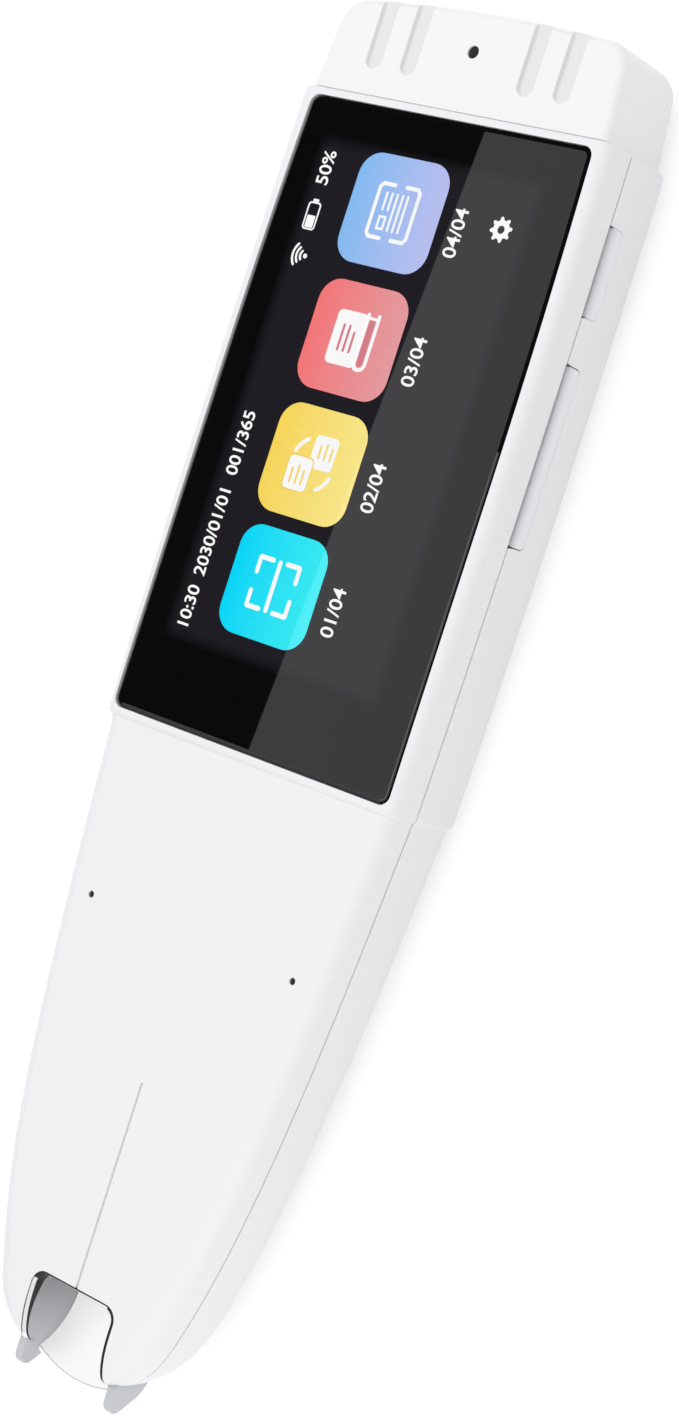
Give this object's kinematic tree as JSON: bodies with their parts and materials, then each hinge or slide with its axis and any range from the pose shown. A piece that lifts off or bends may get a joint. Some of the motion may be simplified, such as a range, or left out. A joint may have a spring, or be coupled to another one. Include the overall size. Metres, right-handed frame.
{
  "type": "handheld scanning translator",
  "caption": "White pen-shaped handheld translator with a black display, side buttons, a grooved end cap and a scanning nose with a pressed fork.",
  "frame": {"origin": "on the flat back of the display section, under the centre of the cover glass; the pen lies on its back", "axes": "+Z is the way the display faces, +Y along the pen from the nose to the end cap, +X the side with the buttons"},
  "size_m": [0.0405, 0.1474, 0.0136],
  "materials": {
    "white_shell": "satin",
    "cap_shell": "satin",
    "button": "satin",
    "cover_glass": "glossy",
    "black_foam": "matt",
    "panel": "glossy",
    "steel": "brushed",
    "chrome_trim": "polished",
    "board": "satin",
    "chip": "matt",
    "flex": "satin",
    "battery": "satin",
    "tape": "matt",
    "gold": "satin",
    "rubber": "matt",
    "black_plastic": "satin",
    "lens": "clear",
    "clear": "clear",
    "led": "glossy",
    "liner": "satin",
    "fork_grey": "satin"
  },
  "bodies": {
    "pen_body": {"front_housing": "white_shell", "rear_housing": "white_shell", "end_cap": "cap_shell", "cover_glass": "cover_glass", "glass_tape": "black_foam", "display_panel": "panel", "backlight_tray": "steel", "display_flex": "flex", "chassis": "steel", "chassis_screws": "steel", "main_board": "board", "board_screws": "steel", "shield_cans": "steel", "board_chips": "chip", "battery": "battery", "battery_tape": "tape", "battery_plug": "tape", "antenna": "flex", "key_bracket": "steel", "key_board": "flex", "key_switches": "black_plastic", "rocker_pin": "steel", "usb_shell": "steel", "usb_tongue": "black_plastic", "scan_board": "board", "scan_board_screws": "steel", "link_flex": "flex", "microphones": "gold", "mic_boots": "rubber", "speaker_box": "black_plastic", "speaker_gasket": "rubber", "speaker_mesh": "steel", "camera_module": "black_plastic", "lens_barrel": "black_plastic", "lens_glass": "lens", "led_board": "board", "scan_leds": "led", "scan_window": "clear", "scan_liner": "liner", "window_trim": "chrome_trim", "nib_spring": "steel", "nib_switch": "black_plastic"},
    "power_key": {"power_button": "button"},
    "volume_key": {"volume_rocker": "button"},
    "nib": {"nib_fork": "fork_grey"}
  },
  "joints": [
    {"name": "power_press", "type": "slide", "parent": "pen_body", "child": "power_key", "axis": [-1, 0, 0], "range_m": [0, 0.0003], "stiffness_N_per_m": 400},
    {"name": "volume_tip", "type": "hinge", "parent": "pen_body", "child": "volume_key", "pos_m": [0.017, 0.0037, 0.00815], "axis": [0, 0, 1], "range_deg": [-1.5, 1.5], "stiffness_Nm_per_rad": 0.02},
    {"name": "nib_press", "type": "slide", "parent": "pen_body", "child": "nib", "axis": [0, 1, 0], "range_m": [0, 0.0005], "stiffness_N_per_m": 300, "deforming": ["nib_spring"]}
  ]
}
